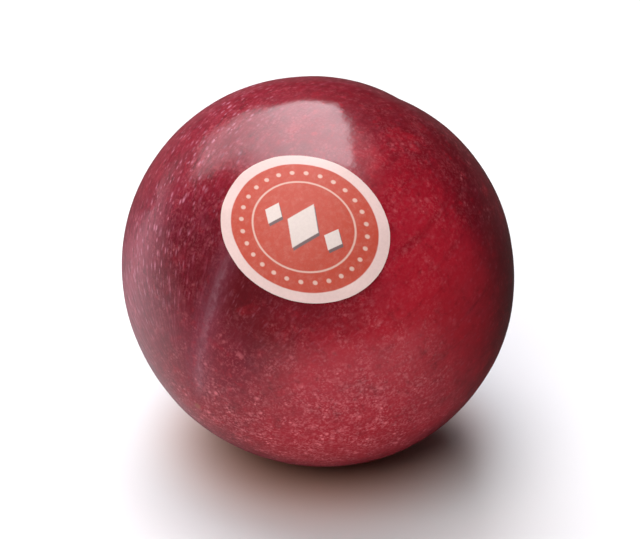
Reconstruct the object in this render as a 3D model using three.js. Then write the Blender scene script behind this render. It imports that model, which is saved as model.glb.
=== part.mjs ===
// A ripe red plum as picked, without its stalk, with one small oval label stuck on its skin.
//
// The fruit is one solid: a slightly flattened ball with a stem cavity at one pole, a
// faint point at the other, and a suture, the shallow groove that joins the two along
// one side. It lies on its side on a small flat spot, with the stem end turned away to
// the back right and a little upwards, so that the suture runs over its top.
//
// Lengths are in millimetres and angles in degrees. +Z is up and -Y is the front. The
// origin lies on the flat spot, straight below the middle of the fruit.

import * as THREE from "three";
import { mergeVertices } from "three/addons/utils/BufferGeometryUtils.js";

const body = {
  cheekRadius: 30.3, // half the width across the two cheeks
  sutureRadius: 29.8, // half the width from the suture to the back
  stemReach: 28.0, // from the middle to the stem pole, before the cavity is sunk
  tipReach: 29.3, // from the middle to the tip pole
};

const stemCavity = { depth: 5.2, spread: 10.5 }; // spread is an angle at the middle
const shoulder = { height: 0.7, at: 20, spread: 9 };
const tipPoint = { height: 0.7, spread: 15, nubHeight: 0.3, nubSpread: 3.5 };

// The groove is a wide soft valley with a narrow crease along its bottom.
const suture = {
  depth: 0.3,
  valleyShare: 0.7,
  valleyWidth: 5.0,
  creaseWidth: 1.8,
  shoulderNotch: 1.0, // added depth where it crosses the shoulder of the cavity
  notchAt: 16,
  notchSpread: 11,
  tipNotch: 0.2, // added depth where it runs out at the tip
  fade: 2.0, // how far it runs on past each pole
};

// Low waves round and along the fruit keep it from being a surface of revolution.
const waves = [
  { height: 0.2, around: 2, phase: 65 },
  { height: 0.14, around: 3, phase: -35 },
  { height: 0.1, around: 5, phase: 150 },
];

// How the fruit lies at rest. Its middle is a little lower than its flesh reaches, so a
// small spot under it is pressed flat at height 0.
const lie = {
  middleHeight: 29.2,
  stemHeading: 50.7, // of the stem pole, from +X towards +Y
  stemRise: 20.3, // of the stem pole above the horizontal
  sutureRoll: 190.2, // turn about the stem axis that brings the suture to the top
  spotSoftness: 0.2, // height over which the flesh rounds into the flat spot
};

const fruitGrid = { meridians: 96, rings: 48, sutureCrowding: 0.35, stemCrowding: 0.35 };

const label = {
  length: 24.8,
  width: 20.6,
  thickness: 0.25,
  gap: 0.1, // clear of the skin
  heading: -96.2, // from +X towards +Y
  rise: 41.6, // above the horizontal
  turn: -21.4, // of its length, clockwise as seen from outside
  rings: 7,
  segments: 56,
};

const { cos, sin, hypot, exp, max, abs, atan2, acos } = Math;
const radians = THREE.MathUtils.degToRad;
const degrees = THREE.MathUtils.radToDeg;
const bell = (offset, spread) => exp(-((offset / spread) ** 2));

// Distance from the middle of the fruit to its skin along a unit direction, in the
// fruit's own frame: +Z is the stem pole and the suture runs along the +X side.
function skinRadius(direction) {
  const { x, y, z } = direction;
  const fromStem = degrees(acos(THREE.MathUtils.clamp(z, -1, 1)));
  const fromTip = 180 - fromStem;
  const sideways = hypot(x, y);
  const poleReach = z > 0 ? body.stemReach : body.tipReach;

  let radius = 1 / hypot(x / body.sutureRadius, y / body.cheekRadius, z / poleReach);

  radius += shoulder.height * bell(fromStem - shoulder.at, shoulder.spread);
  radius -= stemCavity.depth * bell(fromStem, stemCavity.spread);
  radius += tipPoint.height * bell(fromTip, tipPoint.spread);
  radius += tipPoint.nubHeight * bell(fromTip, tipPoint.nubSpread);

  const around = atan2(y, x);
  for (const wave of waves)
    radius += wave.height * sideways ** 2 * sin(wave.around * around + radians(wave.phase));

  return radius - sutureDepth(radius * x, radius * y, fromStem, fromTip);
}

// How deep the suture lies below the skin at a point x along and y across its plane.
function sutureDepth(x, y, fromStem, fromTip) {
  const section =
    suture.valleyShare * bell(y, suture.valleyWidth) +
    (1 - suture.valleyShare) * bell(y, suture.creaseWidth);
  const depth =
    suture.depth +
    suture.shoulderNotch * bell(fromStem - suture.notchAt, suture.notchSpread) +
    suture.tipNotch * bell(fromTip, suture.notchSpread);
  return depth * section * THREE.MathUtils.smoothstep(x, -suture.fade, suture.fade);
}

// The turn from the fruit's own frame to how it lies at rest.
const turned = new THREE.Matrix4()
  .makeRotationZ(radians(lie.stemHeading))
  .multiply(new THREE.Matrix4().makeRotationY(radians(90 - lie.stemRise)))
  .multiply(new THREE.Matrix4().makeRotationZ(radians(lie.sutureRoll)));
const turnedBack = turned.clone().invert();
const middle = new THREE.Vector3(0, 0, lie.middleHeight);

// The skin's point along a direction given as the fruit lies, from the fruit's middle.
function skinPoint(direction) {
  const own = direction.clone().transformDirection(turnedBack);
  return direction.clone().multiplyScalar(skinRadius(own));
}

// A closed geometry with only positions, shared where its seams and poles meet.
function closed(geometry) {
  geometry.deleteAttribute("normal");
  geometry.deleteAttribute("uv");
  return mergeVertices(geometry, 1e-5);
}

function moveEach(geometry, placed) {
  const positions = geometry.getAttribute("position");
  const point = new THREE.Vector3();
  for (let i = 0; i < positions.count; i++) {
    point.fromBufferAttribute(positions, i);
    positions.setXYZ(i, ...placed(point).toArray());
  }
  return geometry;
}

// Rounds the flesh into the flat spot at height 0 and leaves the spot itself flat.
function settled(height) {
  const overlap = max(lie.spotSoftness - abs(height), 0) / lie.spotSoftness;
  return max(height, 0) + (overlap ** 2 * lie.spotSoftness) / 4;
}

// A ball whose meridians crowd towards the suture and whose rings crowd towards the
// stem, laid on the skin and turned to how the fruit lies.
function fruitGeometry() {
  const ball = closed(new THREE.SphereGeometry(1, fruitGrid.meridians, fruitGrid.rings));
  return moveEach(ball, (p) => {
    const evenPolar = acos(THREE.MathUtils.clamp(p.y, -1, 1));
    const evenAround = atan2(p.z, -p.x);
    const polar = evenPolar - fruitGrid.stemCrowding * sin(evenPolar);
    const around = evenAround - fruitGrid.sutureCrowding * sin(evenAround);
    const own = new THREE.Vector3(sin(polar) * cos(around), sin(polar) * sin(around), cos(polar));
    const point = skinPoint(own.transformDirection(turned)).add(middle);
    return point.setZ(settled(point.z));
  });
}

// An oval wafer bent onto the skin. The flat wafer's own Y is its thickness, from 0 at
// its back to 1 at its face, and its rim is at radius 1.
function labelGeometry() {
  const backRings = Array.from({ length: label.rings + 1 }, (_, i) => i / label.rings);
  const profile = [
    ...backRings.map((r) => new THREE.Vector2(r, 0)),
    ...backRings.toReversed().map((r) => new THREE.Vector2(r, 1)),
  ];
  const wafer = closed(new THREE.LatheGeometry(profile, label.segments));

  const heading = radians(label.heading);
  const rise = radians(label.rise);
  const outward = new THREE.Vector3(cos(rise) * cos(heading), cos(rise) * sin(heading), sin(rise));
  const level = new THREE.Vector3(0, 0, 1).cross(outward).normalize();
  const lengthwise = level.clone().applyAxisAngle(outward, radians(label.turn));
  const widthwise = outward.clone().cross(lengthwise);
  const bend = skinPoint(outward).length();

  return moveEach(wafer, (p) => {
    const along = (p.x * label.length) / 2;
    const across = (-p.z * label.width) / 2;
    const arc = hypot(along, across) || 1e-9;
    const direction = outward
      .clone()
      .multiplyScalar(cos(arc / bend))
      .addScaledVector(lengthwise, (sin(arc / bend) * along) / arc)
      .addScaledVector(widthwise, (sin(arc / bend) * across) / arc);
    const point = skinPoint(direction);
    return point.addScaledVector(direction, label.gap + p.y * label.thickness).add(middle);
  });
}

const skin = new THREE.MeshStandardMaterial({ color: 0x7a1a26, roughness: 0.35, metalness: 0 });
const print = new THREE.MeshStandardMaterial({ color: 0xd9482f, roughness: 0.4, metalness: 0 });

const fruit = new THREE.Mesh(fruitGeometry(), skin);
fruit.name = "plum_fruit";

const sticker = new THREE.Mesh(labelGeometry(), print);
sticker.name = "oval_label";

const plum = new THREE.Group();
plum.name = "plum";
plum.add(fruit, sticker);

export default plum;
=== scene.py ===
import math
from types import SimpleNamespace

import bpy
from mathutils import Matrix, Vector


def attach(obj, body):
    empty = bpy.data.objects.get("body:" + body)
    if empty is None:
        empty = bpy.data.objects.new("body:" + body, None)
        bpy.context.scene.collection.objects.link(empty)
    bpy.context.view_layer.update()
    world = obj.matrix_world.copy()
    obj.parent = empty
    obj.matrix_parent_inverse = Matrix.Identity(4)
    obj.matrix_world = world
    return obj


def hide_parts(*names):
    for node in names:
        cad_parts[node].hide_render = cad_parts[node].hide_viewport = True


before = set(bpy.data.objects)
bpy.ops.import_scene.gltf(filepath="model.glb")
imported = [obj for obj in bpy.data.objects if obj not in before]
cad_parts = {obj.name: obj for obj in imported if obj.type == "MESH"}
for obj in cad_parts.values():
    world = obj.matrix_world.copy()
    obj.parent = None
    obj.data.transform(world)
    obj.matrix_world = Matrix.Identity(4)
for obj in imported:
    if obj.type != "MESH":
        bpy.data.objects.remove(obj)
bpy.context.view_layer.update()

# A red plum lying on its side, with a small oval paper label stuck on its skin. The fruit's
# own axis runs from its tip to its stem end, and its suture runs along one side between them.

mm = 0.001

lie = {  # how the fruit lies, as its solid does
    "middle": Vector((0, 0, 29.2)) * mm,
    "stemHeading": 50.7,
    "stemRise": 20.3,
    "sutureRoll": 190.2,
}

fruitTurn = (
    Matrix.Rotation(math.radians(lie["stemHeading"]), 3, "Z")
    @ Matrix.Rotation(math.radians(90 - lie["stemRise"]), 3, "Y")
    @ Matrix.Rotation(math.radians(lie["sutureRoll"]), 3, "Z")
)
fruitTurnBack = fruitTurn.transposed()


def ownPoint(co):  # in mm from the fruit's middle: z to the stem end, x to the suture
    return fruitTurnBack @ (co - lie["middle"]) / mm


def bell(offset, spread):
    return math.exp(-((offset / spread) ** 2))


def smoothStep(value, low, high):
    share = min(max((value - low) / (high - low), 0), 1)
    return share * share * (3 - 2 * share)


def unevenWaves(angle, count, sway, start):  # from 0 to 1, a number of times round
    return (0.5 + 0.5 * math.cos(count * angle + sway * math.sin(2 * angle + start))) ** 2


# Working on meshes


def pickOnly(piece):
    if bpy.context.object and bpy.context.object.mode != "OBJECT":
        bpy.ops.object.mode_set(mode="OBJECT")
    bpy.ops.object.select_all(action="DESELECT")
    piece.select_set(True)
    bpy.context.view_layer.objects.active = piece


def editAll(piece):
    pickOnly(piece)
    bpy.ops.object.mode_set(mode="EDIT")
    bpy.ops.mesh.select_all(action="SELECT")


def objectMode():
    bpy.ops.object.mode_set(mode="OBJECT")


def nameNew(name):  # the piece that an operator has just added
    piece = bpy.context.object
    piece.name = name
    piece.data.name = name
    return piece


def modify(piece, kind, **settings):  # adds a modifier and applies it
    pickOnly(piece)
    modifier = piece.modifiers.new(kind.lower(), kind)
    for setting, value in settings.items():
        setattr(modifier, setting, value)
    bpy.ops.object.modifier_apply(modifier=modifier.name)


def subdivide(piece, levels):
    modify(piece, "SUBSURF", levels=levels, render_levels=levels)


def press(piece, groupName, weightAt, height):  # moves a piece along its normals, where a rule says
    group = piece.vertex_groups.new(name=groupName)
    for vertex in piece.data.vertices:
        weight = weightAt(vertex.co)
        if weight > 0.001:
            group.add([vertex.index], weight, "REPLACE")
    modify(piece, "DISPLACE", vertex_group=groupName, strength=height, mid_level=0)


def roughen(piece, textureName, size, height, depth=1, groupName=""):
    clouds = bpy.data.textures.new(textureName, "CLOUDS")
    clouds.noise_scale = size
    clouds.noise_depth = depth
    modify(
        piece, "DISPLACE", texture=clouds, texture_coords="LOCAL", strength=height, mid_level=0.5,
        vertex_group=groupName,
    )


# Working on materials


def addNode(tree, kind, inputs=None, **settings):
    node = tree.nodes.new("ShaderNode" + kind)
    for setting, value in settings.items():
        setattr(node, setting, value)
    for socket, value in (inputs or {}).items():
        if isinstance(value, bpy.types.NodeSocket):
            tree.links.new(value, node.inputs[socket])
        else:
            node.inputs[socket].default_value = value
    return node


def calculate(tree, operation, *values, clamp=False):
    inputs = dict(enumerate(values))
    return addNode(tree, "Math", inputs, operation=operation, use_clamp=clamp).outputs[0]


def times(tree, product, *factors):
    for factor in factors:
        product = calculate(tree, "MULTIPLY", product, factor)
    return product


def plus(tree, total, value, share, clamp=False):  # adds a share of a value to a total
    return calculate(tree, "MULTIPLY_ADD", value, share, total, clamp=clamp)


def most(tree, first, second):
    return calculate(tree, "MAXIMUM", first, second)


def offsetFrom(tree, value, centre):  # to either side
    return calculate(tree, "ABSOLUTE", calculate(tree, "SUBTRACT", value, centre))


# A fade: a value's change from one range to another, flat on both sides of it
def ranged(tree, value, fromLow, fromHigh, toLow=0.0, toHigh=1.0, smooth=True):
    inputs = {
        "Value": value, "From Min": fromLow, "From Max": fromHigh, "To Min": toLow, "To Max": toHigh,
    }
    kind = "SMOOTHSTEP" if smooth else "LINEAR"
    return addNode(tree, "MapRange", inputs, interpolation_type=kind).outputs["Result"]


def mixed(tree, share, first, second):
    inputs = {0: share, 6: first, 7: second}  # the sockets of a mix of colours
    return addNode(tree, "Mix", inputs, data_type="RGBA").outputs[2]


def lengthOf(tree, vector):
    return addNode(tree, "VectorMath", {0: vector}, operation="LENGTH").outputs["Value"]


def distanceFrom(tree, place, spot):
    return addNode(tree, "VectorMath", {0: place, 1: spot}, operation="DISTANCE").outputs["Value"]


def towards(tree, place, direction):  # how far a place lies along a direction
    return addNode(tree, "VectorMath", {0: place, 1: direction}, operation="DOT_PRODUCT").outputs["Value"]


def mapped(tree, place, **settings):  # a place moved, turned or scaled
    return addNode(tree, "Mapping", {"Vector": place, **settings}).outputs["Vector"]


def noiseAt(tree, place, scale, detail, roughness, distortion=0.0):
    inputs = {
        "Vector": place, "Scale": scale, "Detail": detail, "Roughness": roughness,
        "Distortion": distortion,
    }
    return addNode(tree, "TexNoise", inputs).outputs["Fac"]


def colour(red, green, blue):
    return (red, green, blue, 1.0)


def newMaterial(name):
    material = bpy.data.materials.new(name)
    material.use_nodes = True
    tree = material.node_tree
    tree.nodes.clear()
    shader = addNode(tree, "BsdfPrincipled")
    addNode(tree, "OutputMaterial", {"Surface": shader.outputs["BSDF"]})
    return material, tree, shader


def bumped(tree, height):  # the normal of a surface raised by a height in mm
    inputs = {"Height": height, "Distance": mm, "Strength": 1.0}
    return addNode(tree, "Bump", inputs).outputs["Normal"]


# Places on the fruit, in mm on its own axes


def inFruitMillimetres(tree):
    return mapped(
        tree,
        addNode(tree, "TexCoord").outputs["Object"],
        Location=-(fruitTurnBack @ lie["middle"]) / mm,
        Rotation=fruitTurnBack.to_euler(),
        Scale=Vector((1, 1, 1)) / mm,
    )


def offAxis(tree, place):  # the part of a place that lies across the fruit's axis
    return mapped(tree, place, Scale=(1, 1, 0))


def alongFruit(tree, place, squeeze):  # a pattern drawn out along the lines from tip to stem
    radius = (28, 28, 28)  # near the fruit's, so that a pattern keeps its size round it
    around = addNode(tree, "VectorMath", {0: offAxis(tree, place)}, operation="NORMALIZE").outputs[0]
    inputs = {0: around, 1: radius, 2: mapped(tree, place, Scale=(0, 0, squeeze))}
    return addNode(tree, "VectorMath", inputs, operation="MULTIPLY_ADD").outputs[0]


# Effects that are used more than once, as node groups


def buildGroup(name, inputs, output):  # the inputs' values are set where the group is used
    group = bpy.data.node_groups.new(name, "ShaderNodeTree")
    group.interface.new_socket("Place", in_out="INPUT", socket_type="NodeSocketVector")
    for inputName in inputs:
        group.interface.new_socket(inputName, in_out="INPUT", socket_type="NodeSocketFloat")
    group.interface.new_socket(output, in_out="OUTPUT", socket_type="NodeSocketFloat")
    given = group.nodes.new("NodeGroupInput").outputs
    ends = group.nodes.new("NodeGroupOutput").inputs
    return group, given, ends


speckle = {"sizes": (0.45, 1.35), "strengths": (0.35, 1.0)}
fineGrain = {"detail": 4.0, "roughness": 0.62}


def buildSpeckleGroup():  # round dots of mixed sizes and strengths, about one in each cell
    group, given, ends = buildGroup("speckle", ("Spacing", "Radius", "Share", "Softness"), "Dots")
    scale = calculate(group, "DIVIDE", 1.0, given["Spacing"])
    cells = addNode(group, "TexVoronoi", {"Vector": given["Place"], "Scale": scale}).outputs
    drawn = addNode(group, "SeparateColor", {"Color": cells["Color"]}).outputs
    reach = times(group, cells["Distance"], given["Spacing"])
    size = times(group, given["Radius"], ranged(group, drawn[0], 0, 1, *speckle["sizes"], False))
    core = times(group, size, calculate(group, "SUBTRACT", 1.0, given["Softness"]))
    kept = calculate(group, "LESS_THAN", drawn[1], given["Share"])
    strength = ranged(group, drawn[2], 0, 1, *speckle["strengths"], False)
    dots = times(group, ranged(group, reach, core, size, 1.0, 0.0), kept, strength)
    group.links.new(dots, ends["Dots"])
    return group


def buildGrainGroup():  # fine unevenness, from 0 to 1, of a given size and contrast
    group, given, ends = buildGroup("fineGrain", ("Size", "Contrast"), "Grain")
    scale = calculate(group, "DIVIDE", 1.0, given["Size"])
    noise = noiseAt(group, given["Place"], scale, fineGrain["detail"], fineGrain["roughness"])
    centred = calculate(group, "SUBTRACT", noise, 0.5)
    contrast = times(group, given["Contrast"], 2.0)  # a full contrast fills the range
    group.links.new(plus(group, 0.5, centred, contrast, clamp=True), ends["Grain"])
    return group


speckleGroup = buildSpeckleGroup()
grainGroup = buildGrainGroup()


def useGroup(tree, group, place, **values):
    node = addNode(tree, "Group", node_tree=group)
    tree.links.new(place, node.inputs["Place"])
    for name, value in values.items():
        node.inputs[name].default_value = value
    return node.outputs[0]


def speckled(tree, place, spacing, radius, share, softness):
    return useGroup(
        tree, speckleGroup, place, Spacing=spacing, Radius=radius, Share=share, Softness=softness
    )


def grained(tree, place, size, contrast=1.0):
    return useGroup(tree, grainGroup, place, Size=size, Contrast=contrast)


# Fruit

fruit = {
    "squares": 56,  # along each side of the ball's six faces
    "startRadius": 28 * mm,
    "sutureStart": (-1.5, 1.5),  # this and what sets a weight is in mm on the fruit's own axes
    "sutureStemEnd": (17, 11),
    "creaseWidth": 1.0,
    "creaseTipEnd": (-23, -12),
    "creaseDepth": 0.02 * mm,
    "smoothedWidth": 2.6,
    "smoothedTipEnd": (-15, -6),
    "smoothedHeight": 0.13 * mm,
    "lumpSize": 14 * mm,
    "lumpHeight": 0.22 * mm,
    "dimpleSize": 4.5 * mm,
    "dimpleHeight": 0.035 * mm,
    "puckers": (11, 1.9, 0.7),  # how many, how uneven, and where they start
    "puckerStrengths": (0.6, 0.4, 3, 1.0),  # middle, change, times round and start
    "puckerAt": 4.2,  # from the axis
    "puckerSpread": 2.2,
    "puckerDepth": 0.16 * mm,
    "pitWidth": 0.95,
    "pitDepth": 0.55 * mm,
}


def onSuture(own, width):
    return bell(own.y, width) * smoothStep(own.x, *fruit["sutureStart"])


def overTop(own, tipEnd):  # 1 along the middle of the suture, falling to 0 towards its ends
    return smoothStep(own.z, *tipEnd) * smoothStep(own.z, *fruit["sutureStemEnd"])


def creaseWeight(co):  # the fine crease that is left towards the ends of the suture
    own = ownPoint(co)
    return onSuture(own, fruit["creaseWidth"]) * (1 - overTop(own, fruit["creaseTipEnd"]))


def smoothedWeight(co):  # where the suture of the solid is all but rubbed out
    own = ownPoint(co)
    return onSuture(own, fruit["smoothedWidth"]) * overTop(own, fruit["smoothedTipEnd"])


def pitWeight(co):  # under the middle of the stalk scar
    own = ownPoint(co)
    return bell(math.hypot(own.x, own.y), fruit["pitWidth"]) if own.z > 0 else 0


def puckerWeight(co):  # uneven folds round the stem cavity
    own = ownPoint(co)
    if own.z < 0:
        return 0
    around = math.atan2(own.y, own.x)
    middle, change, count, start = fruit["puckerStrengths"]
    strength = middle + change * math.sin(count * around + start)
    ring = bell(math.hypot(own.x, own.y) - fruit["puckerAt"], fruit["puckerSpread"])
    return strength * unevenWaves(around, *fruit["puckers"]) * ring


def fruitForm():  # a smooth copy of the fruit's solid, to fit the skin to
    form = bpy.data.objects.new("fruitForm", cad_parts["plum_fruit"].data.copy())
    bpy.context.scene.collection.objects.link(form)
    editAll(form)
    bpy.ops.mesh.remove_doubles(threshold=0.001 * mm)
    anyBend = math.radians(60)  # more than the faces of the solid turn
    bpy.ops.mesh.tris_convert_to_quads(face_threshold=anyBend, shape_threshold=anyBend)
    objectMode()
    subdivide(form, 2)
    return form


def makeFruit():
    form = fruitForm()
    bpy.ops.object.select_all(action="DESELECT")
    bpy.ops.mesh.primitive_cube_add(size=2 * fruit["startRadius"], location=lie["middle"])
    piece = nameNew("plum_skin")
    editAll(piece)
    bpy.ops.mesh.subdivide(number_cuts=fruit["squares"] - 1)
    bpy.ops.transform.tosphere(value=1)
    objectMode()
    bpy.ops.object.transform_apply(location=True, rotation=True, scale=True)
    modify(
        piece, "SHRINKWRAP", target=form, wrap_method="PROJECT", use_negative_direction=True,
        use_positive_direction=True,
    )
    bpy.data.objects.remove(form)
    subdivide(piece, 1)
    press(piece, "crease", creaseWeight, -fruit["creaseDepth"])
    press(piece, "smoothed", smoothedWeight, fruit["smoothedHeight"])
    press(piece, "puckers", puckerWeight, -fruit["puckerDepth"])
    press(piece, "pit", pitWeight, -fruit["pitDepth"])
    roughen(piece, "lumps", fruit["lumpSize"], fruit["lumpHeight"])
    roughen(piece, "dimples", fruit["dimpleSize"], fruit["dimpleHeight"])
    for vertex in piece.data.vertices:
        vertex.co.z = max(vertex.co.z, 0)  # the flat spot that it rests on
    pickOnly(piece)
    bpy.ops.object.shade_smooth()
    return piece


# Skin. A fade gives where a change starts and ends, then its values there, where they aren't
# 0 and 1, and False where it is straight instead of smooth. Places are in mm on the fruit's own
# axes: x to the suture, y to the red cheek and z to the stem end.

skinFinish = {
    "colours": {
        "red": colour(0.260, 0.0030, 0.0130),
        "cheekRed": colour(0.410, 0.0085, 0.0225),
        "stemRed": colour(0.125, 0.0014, 0.0075),
        "light": colour(0.470, 0.0110, 0.0250),
        "purple": colour(0.160, 0.0022, 0.0150),
        "mauve": colour(0.372, 0.0505, 0.0835),
        "dark": colour(0.095, 0.0009, 0.0042),
        "fleck": colour(0.50, 0.155, 0.215),
        "dot": colour(0.84, 0.210, 0.235),
        "bloom": colour(0.40, 0.210, 0.310),
        "seam": colour(0.43, 0.260, 0.300),
        "russet": colour(0.34, 0.130, 0.055),
    },
    "patterns": {  # scale per mm, detail, roughness and distortion of each noise
        "zones": (0.06, 2, 0.5, 0.3),
        "patches": (0.17, 4, 0.6, 0.5),
        "streaks": (0.55, 4, 0.65),
        "mottle": (0.85, 3, 0.65),
        "dashes": (1.5, 3, 0.6),
        "clusters": (0.36, 1, 0.5),
        "softSpots": (1.3, 2, 0.5),
        "haze": (0.12, 5, 0.6, 1.0),
        "rubbed": (0.3, 5, 0.68, 0.8),
        "ripples": (0.3, 3, 0.5),
    },
    "dots": {  # spacing and radius in mm, share of the cells that hold one, and softness
        "flecks": (0.70, 0.32, 0.95, 0.95),
        "small": (0.90, 0.29, 0.95, 0.9),
        "large": (1.6, 0.49, 0.85, 0.9),
    },
    "squeeze": {"streaks": 0.16, "dashes": 0.4, "rows": 0.6},  # along the fruit: less is longer
    "places": {
        "stemEndLean": 0.25,  # of the red stem end towards the red cheek
        "darkBand": 4.0,  # its middle line, beside the suture
        "thickest": (-5, 16, -24),  # where the breathing spots crowd
        "bare": ((4, 28, 6), 19, 8, 0.8, 0.3),  # where they are few, given as areas are
        "seamBloom": ((10.5, 2.5, -27), 11, 3, 0.055, 0.3),
    },
    "areas": (  # centre, reach, core, share, how much the edge drifts, and colour
        ((20.5, 15.5, -13), 9.5, 3, 0.45, 0.2, "dark"),
        ((13, 26, -6), 13.5, 4, 0.85, 0.3, "light"),
        # painted shade: this area and the next two darken the red cheek's far edge and the stem shoulder
        ((-6, 26, 10), 21, 9, 0.45, 0.3, "dark"),
        ((4, 29, -1), 15, 6, 0.22, 0.3, "dark"),
        ((22, 12, 15), 10, 3, 0.35, 0.3, "dark"),
        ((19, -8, -18.5), 10.5, 3, 0.36, 0.3, "dark"),
    ),
    "drift": {"stemEnd": 0.5, "sideways": 0.4, "back": 1.2, "thickest": 0.6},  # shares of it
    "fades": {
        "drift": (0.3, 0.7, -6.0, 6.0, False),  # how far the edges of areas wander

        # Large areas of colour
        "stemEnd": (6.5, 20),
        "redCheek": (6, 21),
        "redCheekToStem": (14, 0, 0.3, 1.0),
        "purpleSide": (2, -8),
        "purpleToTip": (-9, -17, 0.28, 1.0),
        "purpleAtTip": (-24, -30, 1.0, 0.35),
        "mauveSide": (-9, -18),
        "mauveToTip": (-12, -20, 0.2, 1.0),
        "mauveToSuture": (-15, 1, 0.35, 1.0),
        "back": (-4, -22, 0, 0.6),
        "sutureSide": (-2, 8),
        "darkBand": (15.0, 0),
        "darkBandToTip": (-6, -17, 0.1, 1.0),
        "darkBandAtTip": (-21.5, -28.0, 1.0, 0.35),
        "farSide": (-16, -26, 1.0, 0.45),

        # The pale line of the suture, and the halo beside it
        "seamStreaks": (0, 1, -0.45, 0.45, False),
        "seamMottle": (0.25, 0.75, -0.6, 0.6, False),
        "seamWidth": (1.0, 0.1),
        "seamToTip": (-13, -24),
        "seamInStreaks": (0.2, 0.6, 0.06, 0.17),
        "seamInMottle": (0.66, 0.36, 0.4, 1.5),
        "haloWidth": (3.2, 0.2),
        "haloToTip": (-3, -17),

        # Mottling, from large to fine
        "darkPatches": (0.5, 0.76, 0, 0.4),
        "palePatches": (0.46, 0.25, 0, 0.4),
        "palePatchesOnPurple": (0, 1, 1.0, 0.25, False),
        "darkStreaks": (0.5, 0.8, 0, 0.45),
        "darkDashes": (0.5, 0.72, 0, 0.75),
        "paleDashes": (0.5, 0.28, 0, 0.37),
        "darkMottle": (0.52, 0.8),
        "darkMottleToTip": (24, 8, 0.45, 0.78),
        "paleMottle": (0.48, 0.22, 0, 0.7),
        "paleMottleOnBand": (0, 0.8, 1.0, 0.15),
        "paleMottleOnPurple": (0, 1, 1.0, 0.35),
        "paleMottleOnStemEnd": (0, 1, 1.0, 0.45),

        # Breathing spots
        "underneath": (15, 3),
        "flecksInMottle": (0.65, 0.35, 0.3, 1.1),
        "flecksSideways": (-3, -14, 0.2, 1.9),
        "flecksToSuture": (-10, 8, 0.3, 1.0),
        "flecksToTip": (-6, -18, 0.72, 1.05),
        "flecksFromAxis": (7, 18, 0.05, 1.0),
        "crowd": (29, 4, 0.36, 1.85),
        "crowdInPatches": (0.66, 0.4, 0.7, 1.0),
        "crowdOnBand": (0, 1, 1.0, 0.25, False),
        "crowdInClusters": (0.36, 0.64, 0.45, 1.4),
        "softSpots": (0.48, 0.70, 0, 0.15),
        "pores": (0.45, 0.8, 0, 0.26),

        # Wax, russet and gloss
        "haze": (0.42, 0.75),
        "rubbed": (0.35, 0.65),
        "bloomGrain": (0.2, 0.8, 0.6, 1.25, False),
        "cavity": (11.0, 5.5),
        "stemHalf": (5, 15),
        "russet": (5.5, 1.8),
        "russetStreaks": (0.3, 0.65, 0.35, 1.0),
        "tipPoint": (0.75, 0.3),
        "tipEnd": (-20, -28),
        "roughness": (0, 1, 0.42, 0.54, False),
        "coat": (0, 1, 0.45, 0.26, False),
        "coatInCavity": (0, 1, 1.0, 0.08, False),
    },
    "shares": {
        "mauve": 0.74,
        "darkBand": 0.92,
        "underneath": 0.5,
        "dots": 0.6,
        "bloom": 0.09,
        "halo": 0.05,
        "russet": 0.7,
        "tipPoint": 0.4,
    },
    "wax": {"rubbed": 0.38, "purpleSide": 0.06, "mauveSide": 0.5, "halo": 0.4, "cavity": 0.6},
    "surface": {
        "grainSize": 0.35,  # sizes and heights are in mm
        "grainHeight": 0.0035,
        "rippleHeight": 0.055,
        "dotHeight": -0.010,
        "coatOnDots": -0.15,
        "coatRoughness": 0.075,
        "coatIor": 2.0,
        "specular": 0.06,
    },
}


def patterned(tree, place, name):
    return noiseAt(tree, place, *skinFinish["patterns"][name])


def dotted(tree, place, name):
    return speckled(tree, place, *skinFinish["dots"][name])


def faded(tree, *fades):  # the product of some values, each put through a fade by name
    return times(tree, *(ranged(tree, value, *skinFinish["fades"][name]) for value, name in fades))


def tinted(tree, skin, name, *shares):  # lays a colour on, by the product of the shares
    return mixed(tree, times(tree, *shares), skin, skinFinish["colours"][name])


def near(tree, at, spot, reach, core, share, drift):  # up to a share, round a spot on the fruit
    distance = plus(tree, distanceFrom(tree, at.place, spot), at.drift, drift)
    return ranged(tree, distance, reach, core, 0, share)


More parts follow.
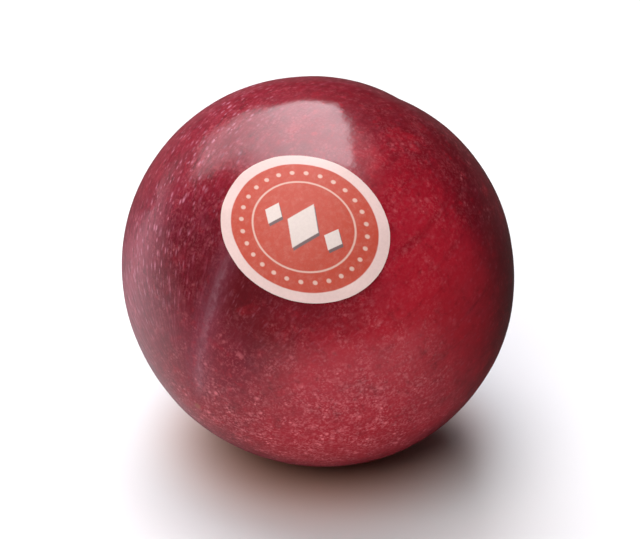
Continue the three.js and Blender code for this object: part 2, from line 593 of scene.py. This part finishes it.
def mapFruit(tree):  # the places, patterns and areas that the layers of the skin share
    at = SimpleNamespace()
    at.place = inFruitMillimetres(tree)
    at.x, at.y, at.z = addNode(tree, "SeparateXYZ", {"Vector": at.place}).outputs
    at.fromAxis = lengthOf(tree, offAxis(tree, at.place))
    at.drawnOut = alongFruit(tree, at.place, skinFinish["squeeze"]["streaks"])

    at.patches = patterned(tree, at.place, "patches")
    at.streaks = patterned(tree, at.drawnOut, "streaks")
    at.mottle = patterned(tree, at.place, "mottle")
    at.grain = grained(tree, at.place, skinFinish["surface"]["grainSize"])
    at.drift = faded(tree, (patterned(tree, at.place, "zones"), "drift"))

    stemward = plus(tree, at.z, at.y, skinFinish["places"]["stemEndLean"])
    at.stemEnd = faded(tree, (plus(tree, stemward, at.drift, skinFinish["drift"]["stemEnd"]), "stemEnd"))
    at.sideways = plus(tree, at.y, at.drift, skinFinish["drift"]["sideways"])
    at.purpleSide = faded(tree, (at.sideways, "purpleSide"))
    at.mauveSide = faded(tree, (at.sideways, "mauveSide"), (at.z, "mauveToTip"), (at.x, "mauveToSuture"))
    at.farSide = faded(tree, (at.sideways, "farSide"))
    at.sutureSide = faded(tree, (at.x, "sutureSide"))
    fromBand = offsetFrom(tree, at.sideways, skinFinish["places"]["darkBand"])
    band = faded(tree, (fromBand, "darkBand"), (at.z, "darkBandToTip"), (at.z, "darkBandAtTip"))
    at.darkBand = times(tree, band, at.sutureSide)

    # The pale line of the suture wanders a little, with a soft halo beside it
    wander = calculate(tree, "ADD", faded(tree, (at.streaks, "seamStreaks")), at.y)
    wander = calculate(tree, "ADD", wander, faded(tree, (at.mottle, "seamMottle")))
    at.fromSeam = calculate(tree, "ABSOLUTE", wander)
    at.halo = times(tree, faded(tree, (at.fromSeam, "haloWidth"), (at.z, "haloToTip")), at.sutureSide)

    thickest = distanceFrom(tree, at.place, skinFinish["places"]["thickest"])
    at.fromThickest = plus(tree, thickest, at.drift, skinFinish["drift"]["thickest"])
    at.inCavity = faded(tree, (at.fromAxis, "cavity"), (at.z, "stemHalf"))
    return at


def skinBase(tree, at):  # red on one cheek, purple on the other, darker to the stem
    redCheek = faded(tree, (at.sideways, "redCheek"), (at.z, "redCheekToStem"))
    skin = mixed(tree, redCheek, skinFinish["colours"]["red"], skinFinish["colours"]["cheekRed"])
    purple = faded(tree, (at.z, "purpleToTip"), (at.z, "purpleAtTip"))
    skin = tinted(tree, skin, "purple", purple, at.purpleSide)
    skin = tinted(tree, skin, "mauve", at.mauveSide, skinFinish["shares"]["mauve"])
    back = plus(tree, at.x, at.drift, skinFinish["drift"]["back"])
    skin = tinted(tree, skin, "purple", faded(tree, (back, "back")))
    skin = tinted(tree, skin, "stemRed", at.stemEnd)
    skin = tinted(tree, skin, "dark", at.darkBand, skinFinish["shares"]["darkBand"])
    # some of these dark areas are painted shade on the red cheek's far edge and the stem shoulder
    for centre, reach, core, share, drift, name in skinFinish["areas"]:
        skin = tinted(tree, skin, name, near(tree, at, centre, reach, core, share, drift))
    return skin


def skinMottled(tree, at, skin):  # patches, streaks, dashes on the purple cheek, and fine mottling
    skin = tinted(tree, skin, "dark", faded(tree, (at.patches, "darkPatches")))
    skin = tinted(tree, skin, "dark", faded(tree, (at.streaks, "darkStreaks")))
    palePatches = faded(tree, (at.patches, "palePatches"), (at.purpleSide, "palePatchesOnPurple"))
    skin = tinted(tree, skin, "light", palePatches)

    inDashes = alongFruit(tree, at.place, skinFinish["squeeze"]["dashes"])
    dashes = patterned(tree, inDashes, "dashes")
    skin = tinted(tree, skin, "dark", faded(tree, (dashes, "darkDashes")), at.purpleSide)
    skin = tinted(tree, skin, "mauve", faded(tree, (dashes, "paleDashes")), at.purpleSide, at.farSide)

    darkMottle = faded(tree, (at.mottle, "darkMottle"), (at.fromThickest, "darkMottleToTip"))
    skin = tinted(tree, skin, "dark", darkMottle)
    paleMottle = faded(
        tree,
        (at.mottle, "paleMottle"),
        (at.darkBand, "paleMottleOnBand"),
        (at.purpleSide, "paleMottleOnPurple"),
        (at.stemEnd, "paleMottleOnStemEnd"),
    )
    return tinted(tree, skin, "light", paleMottle)


def skinDotted(tree, at, skin):  # breathing spots: in rows on the purple cheek, crowded to the tip
    rows = alongFruit(tree, at.place, skinFinish["squeeze"]["rows"])
    flecksHere = faded(
        tree,
        (at.mottle, "flecksInMottle"),
        (at.sideways, "flecksSideways"),
        (at.x, "flecksToSuture"),
        (at.z, "flecksToTip"),
        (at.fromAxis, "flecksFromAxis"),
    )
    flecks = dotted(tree, rows, "flecks")
    skin = tinted(tree, skin, "fleck", flecks, flecksHere, at.farSide)

    clusters = patterned(tree, at.place, "clusters")
    crowd = faded(
        tree,
        (at.fromThickest, "crowd"),
        (at.patches, "crowdInPatches"),
        (at.darkBand, "crowdOnBand"),
        (clusters, "crowdInClusters"),
    )
    bare = near(tree, at, *skinFinish["places"]["bare"])
    crowd = times(tree, crowd, calculate(tree, "SUBTRACT", 1.0, bare))
    small = dotted(tree, at.place, "small")
    large = dotted(tree, at.place, "large")
    dots = times(tree, most(tree, large, small), crowd)
    underneath = faded(tree, (at.fromThickest, "underneath"))
    skin = tinted(tree, skin, "light", underneath, skinFinish["shares"]["underneath"])
    skin = tinted(tree, skin, "dot", dots, skinFinish["shares"]["dots"])
    softSpots = patterned(tree, at.place, "softSpots")
    skin = tinted(tree, skin, "dot", faded(tree, (softSpots, "softSpots")), crowd)
    skin = tinted(tree, skin, "dot", faded(tree, (at.grain, "pores")), crowd)
    return skin, dots


def skinWaxed(tree, at, skin):  # bloom on the purple cheek, in the suture and in the stem cavity
    haze = patterned(tree, at.place, "haze")
    rubbed = patterned(tree, at.drawnOut, "rubbed")
    bloom = times(tree, faded(tree, (haze, "haze"), (rubbed, "rubbed")), skinFinish["wax"]["rubbed"])
    bloom = plus(tree, bloom, at.purpleSide, skinFinish["wax"]["purpleSide"])
    bloom = plus(tree, bloom, at.mauveSide, skinFinish["wax"]["mauveSide"])
    bloom = times(tree, bloom, faded(tree, (at.grain, "bloomGrain")))
    bloom = plus(tree, bloom, at.halo, skinFinish["wax"]["halo"])
    bloom = plus(tree, bloom, at.inCavity, skinFinish["wax"]["cavity"], clamp=True)
    skin = tinted(tree, skin, "bloom", bloom, skinFinish["shares"]["bloom"])
    skin = tinted(tree, skin, "bloom", at.halo, skinFinish["shares"]["halo"])
    seam = faded(
        tree,
        (at.fromSeam, "seamWidth"),
        (at.z, "seamToTip"),
        (at.streaks, "seamInStreaks"),
        (at.mottle, "seamInMottle"),
    )
    skin = tinted(tree, skin, "seam", seam, at.sutureSide)
    skin = tinted(tree, skin, "bloom", near(tree, at, *skinFinish["places"]["seamBloom"]))
    return skin, bloom


def skinRusset(tree, at, skin):  # brown skin round the stalk scar, and a dry point at the tip
    aroundScar = faded(
        tree, (at.fromAxis, "russet"), (at.z, "stemHalf"), (at.streaks, "russetStreaks")
    )
    tipPoint = faded(tree, (at.fromAxis, "tipPoint"), (at.z, "tipEnd"))
    skin = tinted(tree, skin, "russet", aroundScar, skinFinish["shares"]["russet"])
    return tinted(tree, skin, "russet", tipPoint, skinFinish["shares"]["tipPoint"])


def makeSkinMaterial():
    material, tree, shader = newMaterial("plum_skin")
    at = mapFruit(tree)
    skin = skinMottled(tree, at, skinBase(tree, at))
    skin, dots = skinDotted(tree, at, skin)
    skin, bloom = skinWaxed(tree, at, skin)
    tree.links.new(skinRusset(tree, at, skin), shader.inputs["Base Color"])
    tree.links.new(faded(tree, (at.grain, "roughness")), shader.inputs["Roughness"])

    coat = faded(tree, (bloom, "coat"))
    coat = plus(tree, coat, dots, skinFinish["surface"]["coatOnDots"], clamp=True)
    coat = times(tree, coat, faded(tree, (at.inCavity, "coatInCavity")))
    tree.links.new(coat, shader.inputs["Coat Weight"])
    shader.inputs["Coat Roughness"].default_value = skinFinish["surface"]["coatRoughness"]
    shader.inputs["Coat IOR"].default_value = skinFinish["surface"]["coatIor"]
    shader.inputs["Specular IOR Level"].default_value = skinFinish["surface"]["specular"]

    ripples = patterned(tree, at.place, "ripples")
    height = times(tree, ripples, skinFinish["surface"]["rippleHeight"])
    height = plus(tree, height, at.grain, skinFinish["surface"]["grainHeight"])
    normal = bumped(tree, plus(tree, height, dots, skinFinish["surface"]["dotHeight"]))
    tree.links.new(normal, shader.inputs["Normal"])
    tree.links.new(normal, shader.inputs["Coat Normal"])
    return material


plumSkin = makeFruit()
plumSkin.data.materials.clear()
plumSkin.data.materials.append(makeSkinMaterial())
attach(plumSkin, "root")
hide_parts("plum_fruit")
print("fruit:", len(plumSkin.data.polygons), "faces")

# Stalk scar, at the bottom of the stem cavity

scar = {
    "radius": 2.1 * mm,
    "wavers": ((0.07, 3, 0.5), (0.04, 5, 2.0)),  # of its outline: share, times round and start
    "corners": 56,
    "rings": 9,
    "startAway": 30 * mm,  # from the fruit's middle, outside its skin
    "lift": 0.06 * mm,
    "liftedTo": (2.1, 1.7),  # places for the weights are in mm from the stem axis
    "edgeFrom": (1.75, 2.05),
    "edgeDepth": 0.24 * mm,  # its edge is tucked into the skin
    "rimAt": 1.4,
    "rimWidth": 0.38,
    "rimHeight": 0.12 * mm,
    "fibreSize": 0.5 * mm,
    "fibreHeight": 0.22 * mm,
}


def onScar(co):  # distance from the stem axis, wavering so that the scar is not quite round
    own = ownPoint(co)
    around = math.atan2(own.y, own.x)
    wavering = 1
    for share, count, start in scar["wavers"]:
        wavering += share * math.sin(count * around + start)
    return math.hypot(own.x, own.y) * wavering


def makeStalkScar():
    stemward = fruitTurn @ Vector((0, 0, 1))
    bpy.ops.object.select_all(action="DESELECT")
    bpy.ops.mesh.primitive_circle_add(
        vertices=scar["corners"],
        radius=scar["radius"],
        fill_type="NGON",
        location=lie["middle"] + stemward * scar["startAway"],
        rotation=stemward.to_track_quat("Z", "Y").to_euler(),
    )
    piece = nameNew("stalk_scar")
    editAll(piece)
    for _ in range(scar["rings"] - 1):
        bpy.ops.mesh.inset(thickness=scar["radius"] / scar["rings"])
    bpy.ops.mesh.poke()
    objectMode()
    modify(
        piece, "SHRINKWRAP", target=plumSkin, wrap_method="PROJECT", use_project_z=True,
        use_negative_direction=True, use_positive_direction=False,
    )
    pickOnly(piece)
    bpy.ops.object.transform_apply(location=True, rotation=True, scale=True)
    subdivide(piece, 1)
    press(piece, "all", lambda co: smoothStep(onScar(co), *scar["liftedTo"]), scar["lift"])
    press(piece, "edge", lambda co: smoothStep(onScar(co), *scar["edgeFrom"]), -scar["edgeDepth"])
    press(
        piece, "rim", lambda co: bell(onScar(co) - scar["rimAt"], scar["rimWidth"]), scar["rimHeight"]
    )
    roughen(piece, "fibres", scar["fibreSize"], scar["fibreHeight"], depth=3, groupName="all")
    pickOnly(piece)
    bpy.ops.object.shade_smooth()
    return piece


scarFinish = {
    "dry": colour(0.26, 0.115, 0.060),
    "pale": colour(0.42, 0.235, 0.130),
    "deep": colour(0.060, 0.022, 0.013),
    "grain": (0.25, 1.4),  # size in mm and contrast, as for the fibres
    "fibres": (1.6, 1.5),
    "fibreSqueeze": 0.5,
    "deepFibres": (0.45, 0.8, 0, 0.8),
    "deepMiddle": (1.1, 0.3, 0, 0.8),
    "roughness": (0, 1, 0.75, 0.95, False),
    "specular": 0.25,
    "grainHeight": 0.05,  # in mm
}


def makeScarMaterial():
    material, tree, shader = newMaterial("dry_stalk_scar")
    place = inFruitMillimetres(tree)
    fromAxis = lengthOf(tree, offAxis(tree, place))
    grain = grained(tree, place, *scarFinish["grain"])
    fibres = grained(tree, alongFruit(tree, place, scarFinish["fibreSqueeze"]), *scarFinish["fibres"])
    bark = mixed(tree, grain, scarFinish["dry"], scarFinish["pale"])
    bark = mixed(tree, ranged(tree, fibres, *scarFinish["deepFibres"]), bark, scarFinish["deep"])
    bark = mixed(tree, ranged(tree, fromAxis, *scarFinish["deepMiddle"]), bark, scarFinish["deep"])
    tree.links.new(bark, shader.inputs["Base Color"])
    tree.links.new(ranged(tree, grain, *scarFinish["roughness"]), shader.inputs["Roughness"])
    shader.inputs["Specular IOR Level"].default_value = scarFinish["specular"]
    normal = bumped(tree, times(tree, grain, scarFinish["grainHeight"]))
    tree.links.new(normal, shader.inputs["Normal"])
    return material


stalkScar = makeStalkScar()
stalkScar.data.materials.append(makeScarMaterial())
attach(stalkScar, "root")
print("stalk scar:", len(stalkScar.data.polygons), "faces")

# Label

label = {
    "length": 24.8 * mm,
    "width": 20.6 * mm,
    "thickness": 0.12 * mm,
    "clear": 0.03 * mm,  # of the skin
    "heading": -96.2,  # of its centre from the fruit's middle
    "rise": 41.6,
    "turn": -21.4,  # of its length from level
    "corners": 96,
    "rings": 12,
    "bend": 29.5 * mm,
    "startAbove": 2 * mm,  # the bend, before it is pressed onto the skin
    "pleats": (9, 1.7, 0.6),  # how many, how uneven, and where they start
    "pleatsFrom": (0.72, 1.0),  # of its radius, as is liftsFrom
    "pleatHeight": 0.10 * mm,
    "lifts": ((-0.5, 0.24 * mm), (2.6, 0.18 * mm)),  # where its edge has come up, and how far
    "liftsFrom": (0.78, 1.02),
    "liftSpread": 0.3,
    "sharpFrom": 40,  # an edge that turns by more degrees looks sharp
}


def labelAxes():
    heading = math.radians(label["heading"])
    rise = math.radians(label["rise"])
    outward = Vector(
        (math.cos(rise) * math.cos(heading), math.cos(rise) * math.sin(heading), math.sin(rise))
    )
    level = Vector((0, 0, 1)).cross(outward).normalized()
    lengthwise = Matrix.Rotation(math.radians(label["turn"]), 3, outward) @ level
    return lengthwise, outward.cross(lengthwise), outward


def onLabel(co):  # radius, 1 at the rim, and angle of a point of the label
    lengthwise, widthwise, outward = labelAxes()
    direction = (co - lie["middle"]).normalized()
    arc = label["bend"] * outward.angle(direction)
    aside = Vector((direction.dot(lengthwise), direction.dot(widthwise)))
    if aside.length < 1e-6:
        return 0, 0
    aside *= arc / aside.length
    flat = Vector((aside.x * 2 / label["length"], aside.y * 2 / label["width"]))
    return flat.length, math.atan2(flat.y, flat.x)


def pleatWeight(co):
    radius, angle = onLabel(co)
    return unevenWaves(angle, *label["pleats"]) * smoothStep(radius, *label["pleatsFrom"])


def liftWeight(co, liftAngle):
    radius, angle = onLabel(co)
    offset = math.remainder(angle - liftAngle, 2 * math.pi)
    return bell(offset, label["liftSpread"]) * smoothStep(radius, *label["liftsFrom"])


def makeFlatLabel():  # a round disc with its own flat UV map
    bpy.ops.object.select_all(action="DESELECT")
    bpy.ops.mesh.primitive_circle_add(vertices=label["corners"], radius=1, fill_type="NGON")
    piece = nameNew("oval_label_paper")
    editAll(piece)
    for _ in range(label["rings"] - 1):
        bpy.ops.mesh.inset(thickness=1 / label["rings"], use_select_inset=False)
    bpy.ops.mesh.poke()
    objectMode()
    flat = piece.data.uv_layers.new(name="flat")
    for loop in piece.data.loops:
        co = piece.data.vertices[loop.vertex_index].co
        flat.data[loop.index].uv = (0.5 + 0.5 * co.x, 0.5 + 0.5 * co.y)
    return piece


def bendLabel(piece):  # round the fruit's middle, keeping its length and width
    lengthwise, widthwise, outward = labelAxes()
    bend = label["bend"]
    for vertex in piece.data.vertices:
        along = vertex.co.x * label["length"] / 2
        across = vertex.co.y * label["width"] / 2
        arc = math.hypot(along, across) or 1e-9
        aside = (lengthwise * along + widthwise * across) / arc
        direction = outward * math.cos(arc / bend) + aside * math.sin(arc / bend)
        vertex.co = lie["middle"] + direction * (bend + label["startAbove"])


def makeLabel():
    piece = makeFlatLabel()
    bendLabel(piece)
    subdivide(piece, 1)
    modify(
        piece, "SHRINKWRAP", target=plumSkin, wrap_method="NEAREST_SURFACEPOINT",
        wrap_mode="ABOVE_SURFACE", offset=label["clear"],
    )
    press(piece, "pleats", pleatWeight, label["pleatHeight"])
    for number, (angle, height) in enumerate(label["lifts"]):
        press(piece, f"lift{number}", lambda co, angle=angle: liftWeight(co, angle), height)
    modify(piece, "SOLIDIFY", thickness=label["thickness"], offset=1)
    pickOnly(piece)
    bpy.ops.object.shade_smooth_by_angle(angle=math.radians(label["sharpFrom"]))
    return piece


labelFinish = {
    "field": colour(0.57, 0.060, 0.028),
    "rim": colour(0.87, 0.635, 0.585),
    "line": colour(0.80, 0.50, 0.41),
    "motif": colour(0.83, 0.70, 0.635),
    "shadow": colour(0.16, 0.10, 0.10),
    "fibre": colour(0.3, 0.16, 0.13),
    "blur": 0.008,  # of a printed edge; radii and widths are shares of the label's half width
    "rimFrom": 0.865,
    "ringAt": 0.60,
    "ringWidth": 0.022,
    "beads": 28,
    "beadsAt": 0.735,
    "beadRadius": 0.028,
    "lozenges": ((-0.37, 0.11, 0.16), (0.0, 0.19, 0.33), (0.37, 0.11, 0.16)),  # centre, half sizes
    "lozengeBlur": 0.04,
    "shadowShift": 0.028,
    "fibrePattern": (2.4, 5, 0.7),
    "wearPattern": (1.1, 6, 0.75),
    "wear": (0.4, 0.85, 0, 0.2),
    "fibreShown": (0.3, 0.75, 0, 0.1),
    "roughness": (0.2, 0.8, 0.42, 0.56, False),
    "fibreHeight": 0.02,  # in mm
}


def inked(tree, value, limit, blur):  # 1 where a value is within a limit, with a soft edge
    return ranged(tree, value, limit - blur, limit + blur, 1.0, 0.0)


def inkedBeads(tree, radius, angle):  # a ring of small round beads
    count = labelFinish["beads"]
    turns = times(tree, angle, count / (2 * math.pi))
    step = calculate(tree, "SUBTRACT", calculate(tree, "FRACT", turns), 0.5)
    aside = times(tree, step, 2 * math.pi * labelFinish["beadsAt"] / count)
    outside = calculate(tree, "SUBTRACT", radius, labelFinish["beadsAt"])
    squared = plus(tree, times(tree, outside, outside), aside, aside)
    return inked(tree, calculate(tree, "SQRT", squared), labelFinish["beadRadius"], labelFinish["blur"])


def inkedLozenges(tree, x, y, shift):  # three plain lozenges in a row
    row = 0.0
    across = calculate(tree, "ABSOLUTE", calculate(tree, "ADD", y, shift))
    for centre, halfLength, halfWidth in labelFinish["lozenges"]:
        along = offsetFrom(tree, x, centre + shift)
        reach = plus(tree, calculate(tree, "DIVIDE", across, halfWidth), along, 1 / halfLength)
        row = most(tree, row, inked(tree, reach, 1, labelFinish["lozengeBlur"]))
    return row


def makeLabelMaterial():
    material, tree, shader = newMaterial("printed_paper")
    flat = addNode(tree, "UVMap", uv_map="flat").outputs["UV"]
    centred = mapped(tree, flat, Scale=(2, 2, 1), Location=(-1, -1, 0))
    x, y, _ = addNode(tree, "SeparateXYZ", {"Vector": centred}).outputs
    radius = lengthOf(tree, centred)
    fromRing = offsetFrom(tree, radius, labelFinish["ringAt"])
    ring = inked(tree, fromRing, labelFinish["ringWidth"] / 2, labelFinish["blur"])
    beads = inkedBeads(tree, radius, calculate(tree, "ARCTAN2", y, x))
    shadows = inkedLozenges(tree, x, y, labelFinish["shadowShift"])  # to the lower right
    insideRim = inked(tree, radius, labelFinish["rimFrom"], labelFinish["blur"])

    place = inFruitMillimetres(tree)
    fibre = noiseAt(tree, place, *labelFinish["fibrePattern"])
    wear = ranged(tree, noiseAt(tree, place, *labelFinish["wearPattern"]), *labelFinish["wear"])
    printed = mixed(tree, wear, labelFinish["field"], labelFinish["line"])
    printed = mixed(tree, most(tree, ring, beads), printed, labelFinish["line"])
    printed = mixed(tree, shadows, printed, labelFinish["shadow"])
    printed = mixed(tree, inkedLozenges(tree, x, y, 0.0), printed, labelFinish["motif"])
    paper = mixed(tree, insideRim, labelFinish["rim"], printed)
    paper = mixed(tree, ranged(tree, fibre, *labelFinish["fibreShown"]), paper, labelFinish["fibre"])
    tree.links.new(paper, shader.inputs["Base Color"])
    tree.links.new(ranged(tree, fibre, *labelFinish["roughness"]), shader.inputs["Roughness"])
    normal = bumped(tree, times(tree, fibre, labelFinish["fibreHeight"]))
    tree.links.new(normal, shader.inputs["Normal"])
    return material


ovalLabel = makeLabel()
ovalLabel.data.materials.append(makeLabelMaterial())
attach(ovalLabel, "root")
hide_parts("oval_label")
print("label:", len(ovalLabel.data.polygons), "faces")

# Studio. Places and distances are in metres, and directions have no unit.

studio = {
    "backdrop": colour(1.0, 1.0, 1.0),
    "daylight": colour(1.0, 0.99, 1.05),
    "backRight": (0.60, 0.80, 0),
    "backLeft": (-0.7, 0.7, 0),
    "floor": {  # as the camera sees it
        "size": 12.0,
        "colour": colour(0.84, 0.83, 0.825),
        "paintedShadeUnderFruit": colour(0.69, 0.360, 0.250),  # painted warm shade under the fruit, where its shadow and red bounce light fall
        "under": (0.008, 0.031),
        "farOff": (0.25, 1.0),
        "roughness": 0.6,
        "specular": 0.2,
    },
    "bounce": {  # the floor as it lights the skin
        "backRight": colour(0.13, 0.100, 0.096),
        "toBackRight": (-0.02, 0.05),
        # painted shade: the floor gives the skin less light close under the fruit
        "paintedShadeUnderFruit": colour(0.48, 0.35, 0.32),
        "under": (0.010, 0.032),
    },
    "gloss": {  # the floor as the skin's gloss shows it
        "left": colour(0.95, 0.91, 0.92),
        "front": colour(0.40, 0.37, 0.37),
        "dim": colour(0.05, 0.034, 0.030),
        "toBackLeft": (-0.02, 0.09),
        "toBackRight": (-0.04, 0.03),
        "brightSpot": (0.01, -0.01, 0),
        "fromBright": (0.05, 0.22),
        "leftward": (0.35, 0.65),
        "backward": (0.66, 0.82),
        "shadedSpot": (0.026, -0.022, 0),
        "fromShaded": (0.038, 0.012, 0, 0.45),
    },
    "fill": {"towards": (-0.31, -0.52, 0.80), "away": 4.0, "size": 3.4, "brightness": 3.25},
    "room": {
        "dim": 0.03,
        "wall": 0.10,
        "toWall": (-0.8, -0.45, 0),
        "wallFade": (-0.5, 0.7),
        "horizon": (0.02, 0.1),
    },
    "haze": {  # pale air at the left, which the left cheek shows above the floor
        "slope": (0.132, -0.419, 0.898),
        "fade": (-0.50, -0.06),
        "back": (0.82, 0.66),
        "right": (-0.35, -0.65),
        "brightness": 1.1,
    },
    "softBox": {  # its edges, from faint to full, on a ceiling one unit up
        "left": (-1.05, 0.1),
        "right": (0.295, 0.235),
        "rightLean": 0.05,
        "near": (0.02, 0.08),
        "far": (1.55, 1.35),
        "brightness": 5.6,
    },
    "glow": {  # round the soft box, on the same ceiling
        "left": (-2.8, -1.3),
        "right": (0.64, -0.05),
        "near": (-0.35, 0.15),
        "nearLean": 0.55,
        "far": (2.6, 1.5),
        "corner": (1.3, 0.8),  # its far right corner is cut off aslant
        "cornerLean": 1.15,
        "brightness": 2.1,
    },
    "camera": {"away": 0.37, "rise": 30.0, "lens": 138.0, "clip": (0.01, 100)},
}


def bounceColour(tree, place, away):
    bounce = studio["bounce"]
    toBackRight = ranged(tree, towards(tree, place, studio["backRight"]), *bounce["toBackRight"])
    lit = mixed(tree, toBackRight, studio["floor"]["colour"], bounce["backRight"])
    # close under the fruit the floor's light on the skin is darkened, as painted shade
    return mixed(tree, ranged(tree, away, *bounce["under"]), bounce["paintedShadeUnderFruit"], lit)


def glossColour(tree, place):  # pale at the back left, dim far off, behind and to the back right
    gloss = studio["gloss"]
    haze = studio["haze"]
    ends = {0: place, 1: lie["middle"]}
    fromMiddle = addNode(tree, "VectorMath", ends, operation="SUBTRACT").outputs[0]
    heading = addNode(tree, "VectorMath", {0: fromMiddle}, operation="NORMALIZE").outputs[0]
    dim = ranged(tree, distanceFrom(tree, place, gloss["brightSpot"]), *gloss["fromBright"])
    leftDim = ranged(tree, towards(tree, heading, haze["slope"]), *haze["fade"])
    leftward = ranged(tree, towards(tree, heading, (-1, 0, 0)), *gloss["leftward"])
    dim = plus(tree, dim, leftward, calculate(tree, "SUBTRACT", leftDim, dim))
    dim = most(tree, dim, ranged(tree, towards(tree, heading, (0, 1, 0)), *gloss["backward"]))
    backRight = towards(tree, place, studio["backRight"])
    dim = most(tree, dim, ranged(tree, backRight, *gloss["toBackRight"]))
    shaded = ranged(tree, distanceFrom(tree, place, gloss["shadedSpot"]), *gloss["fromShaded"])
    dim = most(tree, dim, shaded)
    backLeft = towards(tree, place, studio["backLeft"])
    lit = mixed(tree, ranged(tree, backLeft, *gloss["toBackLeft"]), gloss["front"], gloss["left"])
    return mixed(tree, dim, lit, gloss["dim"])


def makeFloor():
    settings = studio["floor"]
    bpy.ops.object.select_all(action="DESELECT")
    bpy.ops.mesh.primitive_plane_add(size=settings["size"])
    floor = nameNew("floor")
    material, tree, shader = newMaterial("pale_floor")
    place = addNode(tree, "TexCoord").outputs["Object"]
    away = lengthOf(tree, place)
    ray = addNode(tree, "LightPath").outputs
    # painted warm shade on the floor close under the fruit, as the camera sees it
    pale = mixed(tree, ranged(tree, away, *settings["under"]), settings["paintedShadeUnderFruit"], settings["colour"])
    pale = mixed(tree, ranged(tree, away, *settings["farOff"]), pale, studio["backdrop"])
    pale = mixed(tree, ray["Is Diffuse Ray"], pale, bounceColour(tree, place, away))
    pale = mixed(tree, ray["Is Glossy Ray"], pale, glossColour(tree, place))
    tree.links.new(pale, shader.inputs["Base Color"])
    shader.inputs["Roughness"].default_value = settings["roughness"]
    shader.inputs["Specular IOR Level"].default_value = settings["specular"]
    floor.data.materials.append(material)


def makeFill():  # a round light in front and above, a little to the left
    settings = studio["fill"]
    towardsLight = Vector(settings["towards"]).normalized()
    bpy.ops.object.light_add(type="AREA", location=lie["middle"] + towardsLight * settings["away"])
    fill = nameNew("fill_light")
    fill.rotation_euler = towardsLight.to_track_quat("Z", "Y").to_euler()
    fill.data.shape = "DISK"
    fill.data.size = settings["size"]
    area = math.pi * settings["size"] ** 2 / 4
    fill.data.energy = settings["brightness"] * math.pi * area
    fill.visible_camera = False


def boxShape(tree, along, back):
    box = studio["softBox"]
    return times(
        tree,
        ranged(tree, along, *box["left"]),
        ranged(tree, plus(tree, along, back, box["rightLean"]), *box["right"]),
        ranged(tree, back, *box["near"]),
        ranged(tree, back, *box["far"]),
    )


def glowShape(tree, along, back):
    glow = studio["glow"]
    return times(
        tree,
        ranged(tree, along, *glow["left"]),
        ranged(tree, along, *glow["right"]),
        ranged(tree, plus(tree, back, along, glow["nearLean"]), *glow["near"]),
        ranged(tree, back, *glow["far"]),
        ranged(tree, plus(tree, back, along, glow["cornerLean"]), *glow["corner"]),
    )


def roomStrength(tree, direction, x, y):  # a dim room, with a pale haze at the left
    room = studio["room"]
    haze = studio["haze"]
    toWall = towards(tree, direction, room["toWall"])
    walls = ranged(tree, toWall, *room["wallFade"], room["dim"], room["wall"])
    belowSlope = ranged(
        tree, towards(tree, direction, haze["slope"]), *haze["fade"], haze["brightness"], 0.0
    )
    atLeft = times(tree, belowSlope, ranged(tree, y, *haze["back"]), ranged(tree, x, *haze["right"]))
    return calculate(tree, "ADD", walls, atLeft)


def makeWorld():
    world = bpy.data.worlds.new("studio")
    bpy.context.scene.world = world
    world.use_nodes = True
    tree = world.node_tree
    tree.nodes.clear()
    direction = addNode(tree, "TexCoord").outputs["Generated"]
    x, y, z = addNode(tree, "SeparateXYZ", {"Vector": direction}).outputs
    horizon = studio["room"]["horizon"]
    upward = most(tree, z, horizon[0])
    along = calculate(tree, "DIVIDE", x, upward)
    back = calculate(tree, "DIVIDE", y, upward)
    above = ranged(tree, z, *horizon)

    strength = roomStrength(tree, direction, x, y)
    glow = times(tree, glowShape(tree, along, back), above)
    strength = plus(tree, strength, glow, studio["glow"]["brightness"])
    box = times(tree, boxShape(tree, along, back), above)
    short = calculate(tree, "SUBTRACT", studio["softBox"]["brightness"], strength)
    strength = plus(tree, strength, box, short)

    around = addNode(tree, "Background", {"Color": studio["daylight"], "Strength": strength})
    behind = addNode(tree, "Background", {"Color": studio["backdrop"], "Strength": 1.0})
    toCamera = addNode(tree, "LightPath").outputs["Is Camera Ray"]
    seen = addNode(tree, "MixShader", {0: toCamera, 1: around.outputs[0], 2: behind.outputs[0]})
    addNode(tree, "OutputWorld", {"Surface": seen.outputs[0]})


def makeCamera():
    settings = studio["camera"]
    rise = math.radians(settings["rise"])
    away = Vector((0, -math.cos(rise), math.sin(rise)))
    bpy.ops.object.camera_add(location=lie["middle"] + away * settings["away"])
    camera = nameNew("camera")
    camera.rotation_euler = away.to_track_quat("Z", "Y").to_euler()
    camera.data.lens = settings["lens"]
    camera.data.clip_start, camera.data.clip_end = settings["clip"]
    bpy.context.scene.camera = camera


makeFloor()
makeFill()
makeWorld()
makeCamera()
bpy.context.scene.view_settings.view_transform = "Standard"
print("studio: floor, fill light, world and camera")
